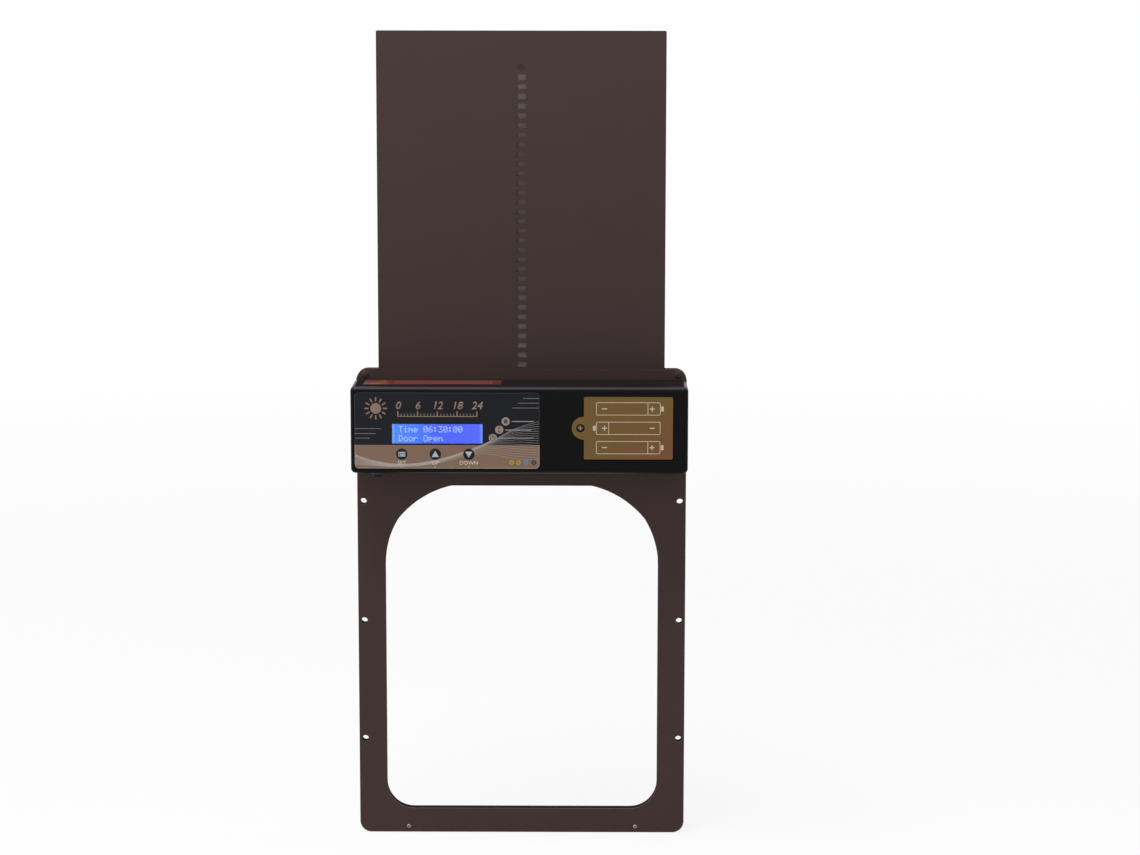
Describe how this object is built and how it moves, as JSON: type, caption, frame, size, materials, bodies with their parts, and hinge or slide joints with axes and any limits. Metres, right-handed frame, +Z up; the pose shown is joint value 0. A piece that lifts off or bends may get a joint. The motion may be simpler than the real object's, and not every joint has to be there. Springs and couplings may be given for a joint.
{
  "type": "automatic coop door",
  "caption": "Wall-mounted vertical sliding pop door with a plate frame, a slotted sheet panel lifted by a geared motor, and a housing with display, keys and battery bay.",
  "frame": {"origin": "middle of the six wall screws, on the rear face that lies against the wall", "axes": "+X along the frame's width to the right as seen from the front, +Y into the wall, +Z up"},
  "size_m": [0.2416, 0.0483, 0.5905],
  "materials": {
    "frame_powder": "satin brown powder coat",
    "door_powder": "satin brown powder coat",
    "rail_nylon": "matt",
    "rivet_steel": "bare",
    "backing_film": "matt",
    "magnet_nickel": "nickel plated",
    "housing_abs": "fine spark texture",
    "screw_zinc": "zinc plated",
    "strip_print": "printed film",
    "overlay_print": "printed film",
    "window_clear": "clear",
    "display_lit": "lit",
    "board_fibre": "solder mask",
    "chip_black": "matt",
    "button_abs": "satin",
    "tray_abs": "matt",
    "contact_nickel": "nickel plated",
    "cell_wrap": "shrink sleeve",
    "cover_abs": "fine spark texture",
    "label_print": "printed film",
    "cover_screw_steel": "black zinc",
    "socket_plastic": "satin",
    "can_steel": "nickel plated",
    "clamp_nylon": "matt",
    "gear_brass": "machined",
    "gear_nylon": "matt"
  },
  "bodies": {
    "frame": {"front_plate": "frame_powder", "rear_plate": "frame_powder", "left_guide_rail": "rail_nylon", "right_guide_rail": "rail_nylon", "sill_spacer": "rail_nylon", "corner_rivets": "frame_powder", "sill_rivets": "rivet_steel", "housing_shell": "housing_abs", "housing_back": "housing_abs", "housing_screws": "screw_zinc", "top_strip": "strip_print", "control_overlay": "overlay_print", "display_window": "window_clear", "display_module": "display_lit", "controller_board": "board_fibre", "board_parts": "chip_black", "board_screws": "screw_zinc", "key_switches": "chip_black", "battery_tray": "tray_abs", "battery_contacts": "contact_nickel", "battery_springs": "contact_nickel", "battery_cell_1": "cell_wrap", "battery_cell_2": "cell_wrap", "battery_cell_3": "cell_wrap", "power_socket": "socket_plastic", "power_socket_pin": "contact_nickel", "power_socket_nut": "socket_plastic", "motor_can": "can_steel", "motor_clamp": "clamp_nylon", "clamp_screws": "screw_zinc", "gearbox_plates": "gear_brass", "gearbox_pillars": "can_steel", "lay_pin": "can_steel", "shaft_bush": "gear_brass", "sensor_board": "board_fibre", "hall_sensors": "chip_black"},
    "door": {"door_panel": "door_powder", "slot_backing": "backing_film", "limit_magnets": "magnet_nickel"},
    "drive_shaft": {"drive_gear": "gear_nylon", "output_shaft": "can_steel"},
    "wheel_3": {"train_wheel_3": "gear_brass"},
    "wheel_2": {"train_wheel_2": "gear_brass"},
    "wheel_1": {"train_wheel_1": "gear_brass"},
    "motor_shaft": {"motor_pinion": "gear_brass"},
    "set_key": {"set_button": "button_abs"},
    "up_key": {"up_button": "button_abs"},
    "down_key": {"down_button": "button_abs"},
    "cover": {"battery_cover": "cover_abs", "battery_label": "label_print", "cover_screw": "cover_screw_steel"}
  },
  "joints": [
    {"name": "door_slide", "type": "slide", "parent": "frame", "child": "door", "axis": [0, 0, 1], "range_m": [-0.24881, 0]},
    {"name": "drive_spin", "type": "hinge", "parent": "frame", "child": "drive_shaft", "pos_m": [0.011, -0.0155, 0.1484], "axis": [1, 0, 0], "range_deg": [-1297, 1]},
    {"name": "wheel_3_spin", "type": "hinge", "parent": "frame", "child": "wheel_3", "pos_m": [0.011, -0.0155, 0.14411], "axis": [1, 0, 0], "range_deg": [-3, 4323]},
    {"name": "wheel_2_spin", "type": "hinge", "parent": "frame", "child": "wheel_2", "pos_m": [0.011, -0.0155, 0.1484], "axis": [1, 0, 0], "range_deg": [-14410, 10]},
    {"name": "wheel_1_spin", "type": "hinge", "parent": "frame", "child": "wheel_1", "pos_m": [0.011, -0.0155, 0.14411], "axis": [1, 0, 0], "range_deg": [-40, 48040]},
    {"name": "motor_spin", "type": "hinge", "parent": "frame", "child": "motor_shaft", "pos_m": [0.011, -0.0155, 0.1484], "axis": [1, 0, 0], "range_deg": [-160120, 120]},
    {"name": "set_press", "type": "slide", "parent": "frame", "child": "set_key", "axis": [0, 1, 0], "range_m": [0, 0.0005], "stiffness_N_per_m": 600, "springref_m": -0.0008},
    {"name": "up_press", "type": "slide", "parent": "frame", "child": "up_key", "axis": [0, 1, 0], "range_m": [0, 0.0005], "stiffness_N_per_m": 600, "springref_m": -0.0008},
    {"name": "down_press", "type": "slide", "parent": "frame", "child": "down_key", "axis": [0, 1, 0], "range_m": [0, 0.0005], "stiffness_N_per_m": 600, "springref_m": -0.0008},
    {"name": "cover_lift", "type": "slide", "parent": "frame", "child": "cover", "axis": [0, -1, 0], "range_m": [0, 0.03]}
  ],
  "couplings": [
    {"joint": "drive_spin", "follows": "door_slide", "rad_per_m": 90.909},
    {"joint": "wheel_3_spin", "follows": "door_slide", "rad_per_m": -303.03},
    {"joint": "wheel_2_spin", "follows": "door_slide", "rad_per_m": 1010.1},
    {"joint": "wheel_1_spin", "follows": "door_slide", "rad_per_m": -3367},
    {"joint": "motor_spin", "follows": "door_slide", "rad_per_m": 11223}
  ]
}
